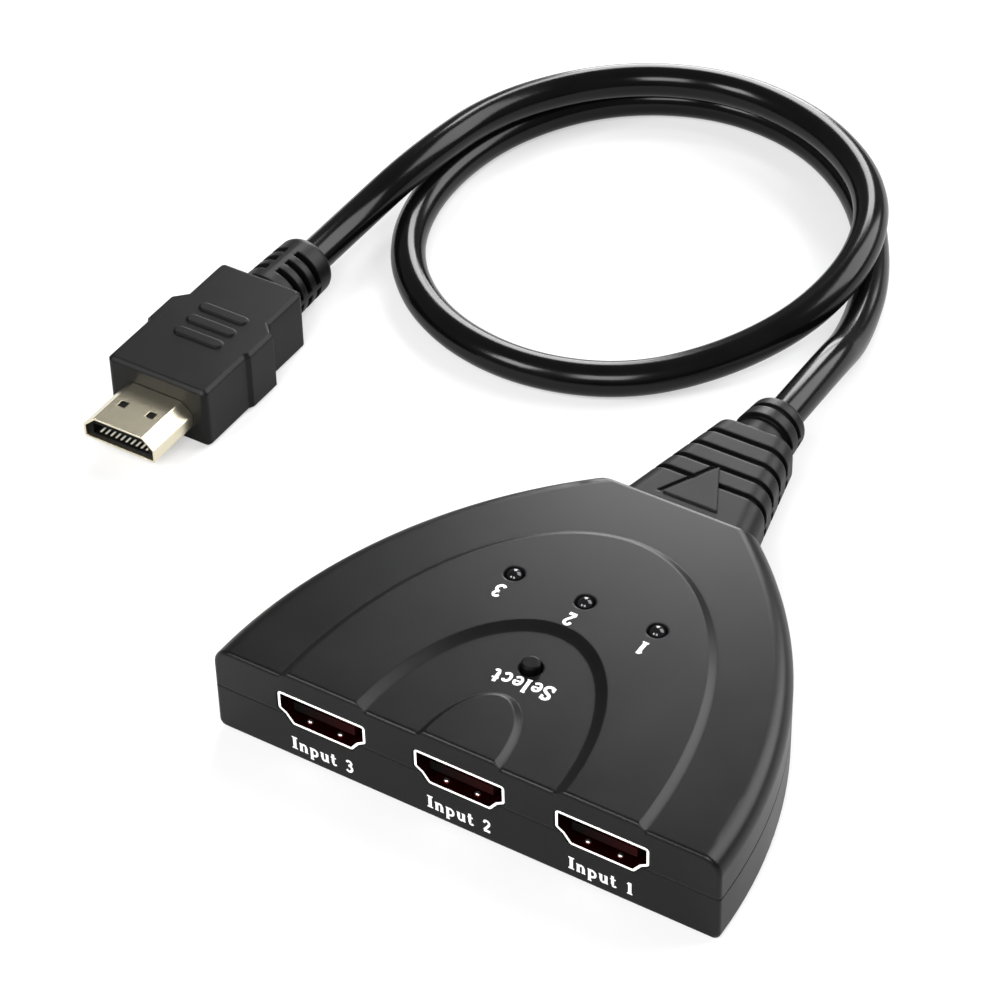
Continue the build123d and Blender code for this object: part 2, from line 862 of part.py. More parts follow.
# Lamps: round-nosed lenses with a flange, flat on one side, and their leads
for number, x in lamp_places.items():
    with BuildPart() as lamp_lens:
        with BuildSketch(Plane.XY.offset(lamp_bottom)):
            with Locations((x, lamp_y)):
                Circle(lamp_flange_radius)
            with Locations((x + lamp_flange_flat, lamp_y)):
                Rectangle(
                    lamp_flange_radius,
                    2 * lamp_flange_radius,
                    align=(Align.MIN, Align.CENTER),
                    mode=Mode.SUBTRACT,
                )
        extrude(amount=lamp_flange_height)
        with BuildSketch(Plane.XY.offset(lamp_bottom)):
            with Locations((x, lamp_y)):
                Circle(lamp_radius)
        extrude(amount=lamp_length - lamp_radius)
        with Locations((x, lamp_y, lamp_top - lamp_radius)):
            Sphere(lamp_radius)
    lamp_lens.part.label = f"led_{number}_lens"
    export_step(lamp_lens.part, f"parts/led_{number}_lens.step")

with BuildPart() as led_leads:
    with BuildSketch(Plane.XY.offset(lamp_bottom)):
        with Locations(lamp_lead_spots):
            Rectangle(lamp_lead_side, lamp_lead_side)
    extrude(amount=board_bottom - lamp_lead_stub - lamp_bottom)
led_leads.part.label = "led_leads"
export_step(led_leads.part, "parts/led_leads.step")

# Switching chip with leads on its four sides
with BuildPart() as switch_chip:
    with BuildSketch(Plane.XY.offset(board_top + chip_standoff)):
        with Locations((chip_x, chip_y)):
            Rectangle(chip_side, chip_side)
    extrude(amount=chip_height)
    chamfer(faces().sort_by(Axis.Z)[-1].edges(), length=chip_edge)
    with BuildSketch(faces().sort_by(Axis.Z)[-1]):
        with Locations((chip_mark_inset - chip_side / 2, chip_mark_inset - chip_side / 2)):
            Circle(chip_mark_radius)
    extrude(amount=-chip_mark_depth, mode=Mode.SUBTRACT)
switch_chip.part.label = "switch_chip"
export_step(switch_chip.part, "parts/switch_chip.step")

with BuildPart() as chip_lead:
    with BuildSketch(Plane.XZ):
        add(
            lead_profile(
                chip_side / 2,
                board_top + chip_standoff + (chip_height + chip_lead_sheet) / 2,
                chip_lead_knee,
                chip_lead_reach,
                chip_lead_sheet,
            )
        )
    extrude(amount=chip_lead_width / 2, both=True)

with BuildPart() as switch_chip_leads:
    with Locations((chip_x, chip_y, 0)):
        with PolarLocations(0, 4):
            with GridLocations(chip_lead_pitch, chip_lead_pitch, 1, chip_leads_per_side):
                add(chip_lead.part)
switch_chip_leads.part.label = "switch_chip_leads"
export_step(switch_chip_leads.part, "parts/switch_chip_leads.step")

# Voltage regulator with three leads and a wide tab
regulator_lead_height = board_top + chip_standoff + (regulator_height + regulator_lead_sheet) / 2
with BuildPart() as voltage_regulator:
    with BuildSketch(Plane.XY.offset(board_top + chip_standoff)):
        with Locations((regulator_x, regulator_y)):
            Rectangle(regulator_length, regulator_width)
    extrude(amount=regulator_height)
    chamfer(faces().sort_by(Axis.Z)[-1].edges(), length=regulator_edge)
voltage_regulator.part.label = "voltage_regulator"
export_step(voltage_regulator.part, "parts/voltage_regulator.step")

with BuildPart() as regulator_leads_part:
    for index in range(regulator_leads):
        lead_x = regulator_x + (index - (regulator_leads - 1) / 2) * regulator_lead_pitch
        with BuildSketch(Plane(origin=(lead_x, regulator_y, 0), x_dir=(0, -1, 0), z_dir=(-1, 0, 0))):
            add(
                lead_profile(
                    regulator_width / 2,
                    regulator_lead_height,
                    regulator_lead_knee,
                    regulator_lead_reach,
                    regulator_lead_sheet,
                )
            )
        extrude(amount=regulator_lead_width / 2, both=True)
    with BuildSketch(Plane(origin=(regulator_x, regulator_y, 0), x_dir=(0, 1, 0), z_dir=(1, 0, 0))):
        add(
            lead_profile(
                regulator_width / 2,
                regulator_lead_height,
                regulator_lead_knee,
                regulator_lead_reach,
                regulator_lead_sheet,
            )
        )
    extrude(amount=regulator_tab_width / 2, both=True)
regulator_leads_part.part.label = "regulator_leads"
export_step(regulator_leads_part.part, "parts/regulator_leads.step")

# Rows of small chips
with BuildPart() as capacitors:
    with BuildSketch(Plane.XY.offset(board_top)):
        with Locations((0, capacitor_y)):
            with GridLocations(capacitor_pitch, capacitor_pitch, capacitor_count, 1):
                Rectangle(small_chip_length, small_chip_width)
    extrude(amount=capacitor_height)
    fillet(edges().filter_by(Axis.Z), radius=small_chip_edge)
capacitors.part.label = "capacitors"
export_step(capacitors.part, "parts/capacitors.step")

with BuildPart() as resistors:
    with BuildSketch(Plane.XY.offset(board_top)):
        with Locations((0, resistor_y)):
            with GridLocations(resistor_pitch, resistor_pitch, resistor_count, 1):
                Rectangle(small_chip_width, small_chip_length)
    extrude(amount=resistor_height)
    fillet(edges().filter_by(Axis.Z), radius=small_chip_edge)
resistors.part.label = "resistors"
export_step(resistors.part, "parts/resistors.step")

# Strain relief: a tapered block with grooves, a neck through the wall, a flange and a round collar
with BuildPart() as strain_relief:
    for y, half_width in ((back_y, gland_root_half), (gland_end, gland_tip_half)):
        with BuildSketch(upright(y)):
            with Locations((0, gland_height)):
                RectangleRounded(2 * half_width, 2 * gland_half_height, gland_corner_radius)
    loft()
    fillet(faces().sort_by(Axis.Y)[-1].edges(), radius=gland_end_radius)
    with BuildSketch(upright(back_y)):
        with Locations((0, gland_height)):
            RectangleRounded(2 * neck_half_width, 2 * neck_half_height, neck_corner_radius)
    extrude(amount=wall)
    with BuildSketch(upright(neck_inner_y)):
        with Locations((0, gland_height)):
            RectangleRounded(
                2 * (neck_half_width + flange_lip), 2 * (neck_half_height + flange_lip), neck_corner_radius
            )
    extrude(amount=flange_thickness)
    with BuildSketch(Plane.YZ):
        with BuildLine():
            Polyline(
                (gland_end - collar_waist_length, gland_height),
                (gland_end - collar_waist_length, gland_height + collar_waist_radius),
                (collar_start, gland_height + collar_waist_radius),
                (collar_start, gland_height + collar_root_radius),
                (collar_start + collar_length, gland_height + collar_tip_radius),
                (collar_start + collar_length, gland_height),
                close=True,
            )
        make_face()
    revolve(axis=Axis((0, 0, gland_height), (0, 1, 0)))
    fillet(faces().sort_by(Axis.Y)[-1].edges(), radius=collar_edge_radius)
    for index in range(gland_groove_count):
        groove_y = back_y + gland_groove_first + index * gland_groove_pitch
        taper = (gland_root_half - gland_tip_half) * (groove_y - back_y) / gland_length
        groove_half = gland_root_half - taper
        with BuildSketch(upright(groove_y + gland_groove_width / 2)):
            with Locations((0, gland_height)):
                Rectangle(2 * (groove_half + overrun), 2 * (gland_half_height + overrun))
                RectangleRounded(
                    2 * (groove_half - gland_groove_depth),
                    2 * (gland_half_height - gland_groove_depth),
                    gland_corner_radius - gland_groove_depth,
                    mode=Mode.SUBTRACT,
                )
                Rectangle(2 * (groove_half + overrun), gland_groove_web, mode=Mode.SUBTRACT)
        extrude(amount=gland_groove_width, mode=Mode.SUBTRACT)
    for index in range(collar_groove_count):
        groove_y = collar_start + collar_groove_first + index * collar_groove_pitch
        with BuildSketch(upright(groove_y + collar_groove_width / 2)):
            with Locations((0, gland_height)):
                Circle(collar_root_radius + overrun)
                Circle(collar_tip_radius - collar_groove_depth / 2, mode=Mode.SUBTRACT)
                Rectangle(2 * (collar_root_radius + overrun), gland_groove_web, mode=Mode.SUBTRACT)
        extrude(amount=collar_groove_width, mode=Mode.SUBTRACT)
    # Raised pointer on the top, with a cut along its left side
    pointer_y = back_y + pointer_start
    with BuildSketch(Plane.XY.offset(gland_height + gland_half_height - gland_groove_depth)):
        with BuildLine():
            Polyline(
                (-pointer_half_width, pointer_y),
                (pointer_half_width, pointer_y),
                (0, pointer_y + pointer_length),
                close=True,
            )
        make_face()
    extrude(amount=gland_groove_depth + pointer_rise)
    with BuildSketch(Plane.XY.offset(gland_height + gland_half_height - pointer_cut_depth)):
        with BuildLine():
            Polyline(
                (-pointer_half_width - pointer_cut_side, pointer_y),
                (-pointer_half_width - pointer_cut_side + pointer_cut_width, pointer_y),
                (pointer_cut_width - pointer_cut_side, pointer_y + pointer_length),
                (-pointer_cut_side, pointer_y + pointer_length),
                close=True,
            )
        make_face()
    extrude(amount=pointer_cut_depth + pointer_rise, mode=Mode.SUBTRACT)
strain_relief.part.label = "strain_relief"
export_step(strain_relief.part, "parts/strain_relief.step")

# End of the lead inside the housing: jacket, shield and cores
shield_y = flange_inner_y - jacket_stub
core_y = shield_y - shield_stub
with BuildPart() as cable_jacket_end:
    with BuildSketch(upright(flange_inner_y)):
        with Locations((0, gland_height)):
            Circle(cable_diameter / 2)
    extrude(amount=jacket_stub)
cable_jacket_end.part.label = "cable_jacket_end"
export_step(cable_jacket_end.part, "parts/cable_jacket_end.step")

with BuildPart() as cable_shield:
    with BuildSketch(upright(shield_y)):
        with Locations((0, gland_height)):
            Circle(shield_radius)
    extrude(amount=shield_stub)
cable_shield.part.label = "cable_shield"
export_step(cable_shield.part, "parts/cable_shield.step")

with BuildPart() as cable_cores:
    for index in range(core_count):
        place = index - (core_count - 1) / 2
        start_x = place * core_start_pitch
        start_z = gland_height + (-1) ** index * core_start_rise
        pad_x = place * core_pad_pitch
        pad_z = board_top + core_radius
        with BuildLine() as core_path:
            FilletPolyline(
                (start_x, core_y, start_z),
                (start_x, core_y - core_run_out, start_z),
                (pad_x, board_back + core_landing_gap, pad_z),
                (pad_x, board_back - core_pad_length, pad_z),
                radius=core_bend,
            )
        with BuildSketch(Plane(core_path.line @ 0, z_dir=core_path.line % 0)):
            Circle(core_radius)
        sweep(path=core_path.line)
cable_cores.part.label = "cable_cores"
export_step(cable_cores.part, "parts/cable_cores.step")

# Free lead: straight runs joined by arcs, each as large as its two runs allow
points = [Vector(*point) for point in cord_route]
cord_radii = []
for before, corner, after in zip(points, points[1:], points[2:]):
    half_turn = radians((corner - before).get_angle(after - corner)) / 2
    shorter_run = min((corner - before).length, (after - corner).length)
    cord_radii.append(cord_bend_share * shorter_run / tan(half_turn))

with BuildPart() as output_cable:
    with BuildLine() as cord_path:
        FilletPolyline(*points, radius=cord_radii)
    with BuildSketch(Plane(cord_path.line @ 0, z_dir=cord_path.line % 0)):
        Circle(cable_diameter / 2)
    sweep(path=cord_path.line)
output_cable.part.label = "output_cable"
export_step(output_cable.part, "parts/output_cable.step")

cord_wire = cord_path.wires()[0]
cord_length = cord_wire.length
section = pi * cable_diameter**2 / 4
spots = [cord_wire @ (index / cord_samples) for index in range(cord_samples + 1)]
apart = int(cord_samples * cord_skip_share * cable_diameter / cord_length)
closest = min(
    (spots[i] - spots[j]).length for i in range(len(spots)) for j in range(i + apart, len(spots))
)
print("cord radii", [round(radius, 1) for radius in cord_radii])
print(f"cord length {cord_length:.1f} mm")
print(f"cord volume {output_cable.part.volume:.0f}, section times length {section * cord_length:.0f}")
print(f"least gap of the cord to itself {closest - cable_diameter:.2f} mm")

# Plug: overmould with its ribbed boot
with BuildPart() as plug_body:
    half_plan = [
        (plug_front_half, 0),
        (plug_front_half, plug_grip_start),
        (plug_grip_half, plug_grip_start + plug_step),
        (plug_grip_half, plug_grip_end),
        (plug_rear_half, plug_grip_end + plug_rear_step),
        (plug_rear_half, plug_length),
    ]
    with BuildSketch(Plane(origin=(plug_x, plug_front_y, 0))):
        with BuildLine():
            Polyline(half_plan + [(-x, y) for x, y in reversed(half_plan)], close=True)
        make_face()
        fillet(vertices().group_by(Axis.Y)[-1], radius=plug_rear_radius)
        fillet(vertices().group_by(Axis.Y)[0], radius=plug_front_radius)
    extrude(amount=plug_height)
    chamfer(faces().sort_by(Axis.Z)[-1].edges(), length=plug_edge_chamfer)
    chamfer(faces().sort_by(Axis.Z)[0].edges(), length=plug_edge_chamfer)
    with BuildSketch(Plane(origin=(plug_x, plug_front_y, plug_height))):
        for index in range(plug_bar_count):
            with Locations((plug_bar_shift, plug_bar_first + index * plug_bar_pitch)):
                SlotOverall(plug_bar_length, plug_bar_width)
    extrude(amount=plug_bar_rise)
    fillet(faces().sort_by(Axis.Z)[-plug_bar_count:].edges(), radius=plug_bar_edge)
    with BuildSketch(Plane(origin=(plug_x, 0, 0), x_dir=(0, 1, 0), z_dir=(1, 0, 0))):
        with BuildLine():
            Polyline(
                (plug_end, plug_axis),
                (plug_end, plug_axis + boot_root_radius),
                (plug_end + boot_length, plug_axis + boot_tip_radius),
                (plug_end + boot_length, plug_axis),
                close=True,
            )
        make_face()
    revolve(axis=Axis((plug_x, 0, plug_axis), (0, 1, 0)))
    fillet(faces().sort_by(Axis.Y)[-1].edges(), radius=boot_edge_radius)
    for index in range(boot_slot_count):
        slot_y = plug_end + boot_slot_first + index * boot_slot_pitch
        with BuildSketch(upright(slot_y + boot_slot_width / 2, plug_x)):
            with Locations((0, plug_axis)):
                Circle(boot_root_radius + overrun)
                Circle(boot_tip_radius - boot_slot_depth, mode=Mode.SUBTRACT)
                Rectangle(2 * (boot_root_radius + overrun), boot_web, mode=Mode.SUBTRACT)
                Rectangle(boot_spine, 2 * (boot_root_radius + overrun), mode=Mode.SUBTRACT)
        extrude(amount=boot_slot_width, mode=Mode.SUBTRACT)
    # Room for the shell and for the inner mould behind it
    with BuildSketch(upright(plug_front_y, plug_x)):
        add(plug_profile(plug_shell_gap))
    extrude(amount=-plug_shell_seat, mode=Mode.SUBTRACT)
    with BuildSketch(upright(plug_core_end, plug_x)):
        with Locations((0, plug_axis)):
            Rectangle(2 * inner_mould_half_width, 2 * inner_mould_half_height)
    extrude(amount=-inner_mould_length, mode=Mode.SUBTRACT)
plug_body.part.label = "plug_body"
export_step(plug_body.part, "parts/plug_body.step")

with BuildPart() as plug_inner_mould:
    with BuildSketch(upright(plug_core_end, plug_x)):
        with Locations((0, plug_axis)):
            Rectangle(2 * inner_mould_half_width, 2 * inner_mould_half_height)
    extrude(amount=-inner_mould_length)
plug_inner_mould.part.label = "plug_inner_mould"
export_step(plug_inner_mould.part, "parts/plug_inner_mould.step")

with BuildPart() as plug_shell:
    with BuildSketch(upright(plug_shell_tip, plug_x)):
        add(plug_profile(0))
        add(plug_profile(-plug_shell_sheet), mode=Mode.SUBTRACT)
    extrude(amount=plug_shell_tip - plug_core_end)
    with BuildSketch(Plane(origin=(plug_x, plug_shell_tip + plug_latch_from_tip, 0))):
        with Locations(mirrored([(plug_latch_offset, 0)])):
            Rectangle(plug_latch_side, plug_latch_side)
    extrude(amount=plug_height, mode=Mode.SUBTRACT)
plug_shell.part.label = "plug_shell"
export_step(plug_shell.part, "parts/plug_shell.step")

with BuildPart() as plug_insulator:
    with BuildSketch(upright(plug_mouth_y, plug_x)):
        add(plug_profile(-(plug_shell_sheet + plug_shell_gap)))
    extrude(amount=plug_mouth_y - plug_core_end)
    with BuildSketch(upright(plug_mouth_y, plug_x)):
        with Locations((0, plug_mouth_centre)):
            Rectangle(2 * plug_mouth_half, plug_mouth_height)
    extrude(amount=-plug_mouth_depth, mode=Mode.SUBTRACT)
    add(plug_blades(contact_gap), mode=Mode.SUBTRACT)
plug_insulator.part.label = "plug_insulator"
export_step(plug_insulator.part, "parts/plug_insulator.step")

with BuildPart() as plug_contacts:
    add(plug_blades(0))
plug_contacts.part.label = "plug_contacts"
export_step(plug_contacts.part, "parts/plug_contacts.step")
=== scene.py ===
"""Looks of the three-way video switch box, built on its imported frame. Metres, +Z up."""
import math

import bmesh
import bpy
from mathutils import Matrix, Vector


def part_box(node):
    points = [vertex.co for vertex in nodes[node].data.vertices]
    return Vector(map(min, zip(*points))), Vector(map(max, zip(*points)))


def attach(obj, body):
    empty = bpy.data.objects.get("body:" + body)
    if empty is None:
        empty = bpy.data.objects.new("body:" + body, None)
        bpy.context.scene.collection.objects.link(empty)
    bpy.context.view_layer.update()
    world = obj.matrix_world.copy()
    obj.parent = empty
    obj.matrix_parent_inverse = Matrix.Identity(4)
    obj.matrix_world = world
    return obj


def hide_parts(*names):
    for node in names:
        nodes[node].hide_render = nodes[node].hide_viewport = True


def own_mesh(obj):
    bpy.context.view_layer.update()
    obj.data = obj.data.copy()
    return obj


MM = 0.001

# Camera, solved from the photograph
IMAGE_SIZE = 1000
FOCAL_PIXELS = 3529.6
SENSOR_WIDTH = 36
CAMERA_PLACE = Vector((194.7, -321.4, 364.0)) * MM
CAMERA_AZIMUTH = math.radians(32.72)
CAMERA_ELEVATION = math.radians(40.85)
CAMERA_ROLL = math.radians(1.48)
CLIP_START = 10 * MM

# Route of the lead, the same points as in the part's source, in millimetres
CORD_ROUTE = [
    (0, 64.3, 7.6),
    (0, 80, 7.6),
    (-2, 94, 3.2),
    (-7, 111, 3),
    (-18, 129, 3),
    (-35, 141, 3),
    (-55, 143, 3),
    (-73, 133.5, 3),
    (-83.5, 116, 3),
    (-85.5, 95.5, 3),
    (-79.5, 76, 3),
    (-65, 63, 3),
    (-46.5, 59, 3),
    (-29, 64.5, 3),
    (-17, 77, 4),
    (-8.5, 91.5, 7.3),
    (-7.5, 109, 9.9),
    (-15, 125, 9.8),
    (-30.5, 136.5, 9.6),
    (-50.5, 140, 9.6),
    (-69.5, 132, 9.6),
    (-83, 114, 9.6),
    (-86, 92.5, 9.8),
    (-89.4, 77.5, 5.65),
    (-89.4, 63.1, 5.65),
]
CORD_DIAMETER = 6.0 * MM
CORD_BEVEL_STEPS = 7
CORD_SPAN_STEPS = 16

# Printed marks, in millimetres, but the spaces between letters are shares of their height, and BOLD
# multiplies the pen's width
RECESS_DEPTH = 0.8
INK_RISE = 0.02
DIGIT_HEIGHT = 2.75
DIGIT_DROP = 4.3
DIGIT_TURN = math.radians(180)
SELECT_HEIGHT = 2.8
SELECT_PLACE = (0.7, -14.9)
SELECT_TURN = math.radians(184)
SELECT_SPACE = 0.08
INPUT_HEIGHT = 2.35
INPUT_SHIFT = -0.15
INPUT_CENTRE_Z = 3.0
INPUT_SPACE = 0.12
BOLD = 1.2

# Letters in shares of a capital's height: width, then strokes as pen width and points on the stroke
GLYPHS = {
    " ": (0.42, []),
    "I": (
        0.42,
        [
            (0.2, [(0.2, 0), (0.2, 1)]),
            (0.09, [(0, 0.05), (0.4, 0.05)]),
            (0.09, [(0, 0.95), (0.4, 0.95)]),
        ],
    ),
    "n": (
        0.66,
        [
            (0.17, [(0.14, 0), (0.14, 0.68)]),
            (0.14, [(0.14, 0.5), (0.28, 0.61), (0.42, 0.6), (0.5, 0.44), (0.5, 0.3)]),
            (0.17, [(0.5, 0), (0.5, 0.44)]),
            (0.08, [(0, 0.64), (0.14, 0.64)]),
            (0.08, [(0.02, 0.04), (0.27, 0.04)]),
            (0.08, [(0.38, 0.04), (0.63, 0.04)]),
        ],
    ),
    "p": (
        0.66,
        [
            (0.17, [(0.14, -0.3), (0.14, 0.68)]),
            (0.14, [(0.14, 0.54), (0.32, 0.61), (0.5, 0.5), (0.54, 0.34), (0.5, 0.16), (0.32, 0.06),
                    (0.14, 0.12)]),
            (0.08, [(0, 0.64), (0.14, 0.64)]),
            (0.08, [(0.02, -0.27), (0.28, -0.27)]),
        ],
    ),
    "u": (
        0.66,
        [
            (0.17, [(0.14, 0.68), (0.14, 0.24)]),
            (0.14, [(0.14, 0.3), (0.18, 0.12), (0.32, 0.06), (0.46, 0.16)]),
            (0.17, [(0.5, 0.68), (0.5, 0)]),
            (0.08, [(0, 0.64), (0.14, 0.64)]),
            (0.08, [(0.36, 0.64), (0.5, 0.64)]),
            (0.08, [(0.5, 0.04), (0.63, 0.04)]),
        ],
    ),
    "t": (
        0.44,
        [
            (0.17, [(0.16, 0.92), (0.16, 0.2)]),
            (0.12, [(0.16, 0.26), (0.19, 0.09), (0.3, 0.05), (0.4, 0.14)]),
            (0.09, [(0, 0.63), (0.38, 0.63)]),
        ],
    ),
    "S": (
        0.6,
        [
            (0.15, [(0.48, 0.72), (0.42, 0.9), (0.26, 0.94), (0.1, 0.82), (0.14, 0.62), (0.32, 0.5),
                    (0.48, 0.36), (0.5, 0.16), (0.34, 0.04), (0.14, 0.07), (0.06, 0.26)]),
            (0.08, [(0.5, 0.66), (0.5, 0.98)]),
            (0.08, [(0.04, 0.02), (0.04, 0.34)]),
        ],
    ),
    "e": (
        0.56,
        [
            (0.13, [(0.46, 0.36), (0.42, 0.56), (0.28, 0.62), (0.13, 0.54), (0.08, 0.34), (0.13, 0.13),
                    (0.28, 0.05), (0.46, 0.15)]),
            (0.08, [(0.1, 0.36), (0.5, 0.36)]),
        ],
    ),
    "l": (
        0.36,
        [
            (0.17, [(0.18, 0), (0.18, 1)]),
            (0.08, [(0.04, 0.96), (0.18, 0.96)]),
            (0.08, [(0.04, 0.04), (0.32, 0.04)]),
        ],
    ),
    "c": (
        0.54,
        [
            (0.14, [(0.42, 0.5), (0.36, 0.61), (0.24, 0.61), (0.12, 0.52), (0.08, 0.33), (0.13, 0.13),
                    (0.28, 0.05), (0.46, 0.16)]),
        ],
    ),
    "1": (
        0.46,
        [
            (0.19, [(0.24, 0), (0.24, 0.98)]),
            (0.1, [(0.24, 0.92), (0.06, 0.8)]),
            (0.09, [(0.06, 0.05), (0.42, 0.05)]),
        ],
    ),
    "2": (
        0.56,
        [
            (0.14, [(0.08, 0.72), (0.14, 0.9), (0.28, 0.94), (0.42, 0.84), (0.42, 0.64), (0.26, 0.38),
                    (0.08, 0.12)]),
            (0.17, [(0.06, 0.09), (0.5, 0.09)]),
        ],
    ),
    "3": (
        0.56,
        [
            (0.14, [(0.08, 0.8), (0.18, 0.93), (0.34, 0.92), (0.42, 0.76), (0.34, 0.6), (0.2, 0.54)]),
            (0.15, [(0.2, 0.54), (0.38, 0.5), (0.46, 0.3), (0.36, 0.1), (0.2, 0.05), (0.06, 0.16)]),
        ],
    ),
}
# Straight pieces in each span of a curved stroke
CURVE_STEPS = 5

# Pressed dimples on the floor of each socket, in millimetres
DIMPLE_RADII = (0.5, 0.42, 0.3)
DIMPLE_DEPTH = 1.4
DIMPLE_FLOOR = 7.0
DIMPLE_SHIFT = -0.4
DIMPLE_SPREAD = 2.6
DIMPLE_SEGMENTS = 20
DIMPLE_RINGS = 12

# Lights: azimuth and elevation as seen from the object in degrees, then distance and size in metres, then
# power in watts
LIGHTS = {
    "back_panel": (203, 29, 0.9, 0.3, 3.7),
    "back_low_panel": (205, 8, 0.9, 0.3, 2.5),
    "side_panel": (147, 37, 0.9, 0.7, 9.0),
    "left_front_panel": (330, 40, 0.9, 0.3, 4.5),
    "front_panel": (20, 45, 0.9, 0.35, 4.5),
}
LIGHT_AIM = Vector((0, 20, 10)) * MM

# The normal's Y where the painted glow on the lip of the sockets' shells begins and where it is full
GLOW_LIP_FACING = (-0.8, -0.98)

# Sockets' tongues: colours from their left end to their right, dark red darkened to black towards the left as
# painted shade
TONGUE_SHADE_COLOURS = [
    (0.2, (0.0008, 0.0005, 0.0005)),
    (0.5, (0.008, 0.0006, 0.0005)),
    (0.95, (0.02, 0.0008, 0.0008)),
]
TONGUE_GLOSS_SCALE = 2500
TONGUE_ROUGHNESS = (0.5, 0.6)

# Roughness added in the inner corners of the top: all of it where this share of the sky or less is open
CREASE_ROUGHNESS = 0.35
CREASE_OPENNESS = 0.85
CREASE_SAMPLES = 8

# Surface textures: samples of a softened edge, the values that a noise mostly keeps between, then scales and
# strengths
EDGE_SAMPLES = 6
NOISE_RANGE = (0.3, 0.7)
MOTTLE_SCALE = 180
GLOSS_SCALE = 90
GRAIN_STRENGTH = 0.35
BRUSHING_STRETCH = (2500, 300, 2500)
BRUSHING_RANGE = (0.25, 0.75)
BRUSHING_STRENGTH = 0.05
BRUSHING_DEPTH = 0.001 * MM

# Snap dome under the button: the thickness of its sheet, and the rings and segments of its mesh
DOME_SHEET = 0.12 * MM
DOME_RINGS = 8
DOME_SEGMENTS = 48

# Low border of the top: below this step, outside this reach from the middle of the front, and its extra crown
STEP_LEVEL = 0.3 * MM
RECESS_REACH = 30 * MM
BORDER_CROWN = 1.1

# Table: the light that it sends to the camera by itself, and the share of it that reflections see
FLOOR_GLOW = 0.45
MIRRORED_GLOW = 0.35
FLOOR_GREY = 0.52
FLOOR_ROUGHNESS = 0.7
FLOOR_SIZE = 6
FLOOR_DROP = 0.2 * MM

# Strength of the world's light, and the white that the camera sees there
AMBIENT = 0.2
WHITE = (1, 1, 1, 1)

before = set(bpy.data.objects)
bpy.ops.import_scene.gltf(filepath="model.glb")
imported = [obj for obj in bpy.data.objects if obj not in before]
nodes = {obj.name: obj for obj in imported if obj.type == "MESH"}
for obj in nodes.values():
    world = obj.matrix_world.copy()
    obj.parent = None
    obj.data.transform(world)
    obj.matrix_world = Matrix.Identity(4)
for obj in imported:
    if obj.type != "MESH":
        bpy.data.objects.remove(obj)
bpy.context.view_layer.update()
top_low, top_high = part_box("top_cover")
scene = bpy.context.scene


def make_camera():
    """Camera at the photograph's place, angle and focal length."""
    a, e = CAMERA_AZIMUTH, CAMERA_ELEVATION
    back = Vector((math.sin(a) * math.cos(e), -math.cos(a) * math.cos(e), math.sin(e)))
    right = Vector((0, 0, 1)).cross(back).normalized()
    up = back.cross(right)
    turn = Matrix((right, up, back)).transposed() @ Matrix.Rotation(-CAMERA_ROLL, 3, "Z")
    data = bpy.data.cameras.new("camera")
    data.sensor_width = SENSOR_WIDTH
    data.lens = FOCAL_PIXELS * SENSOR_WIDTH / IMAGE_SIZE
    data.clip_start = CLIP_START
    camera = bpy.data.objects.new("camera", data)
    camera.matrix_world = Matrix.Translation(CAMERA_PLACE) @ turn.to_4x4()
    scene.collection.objects.link(camera)
    scene.camera = camera


def grey(level):
    """The same share of red, green and blue."""
    return (level, level, level)


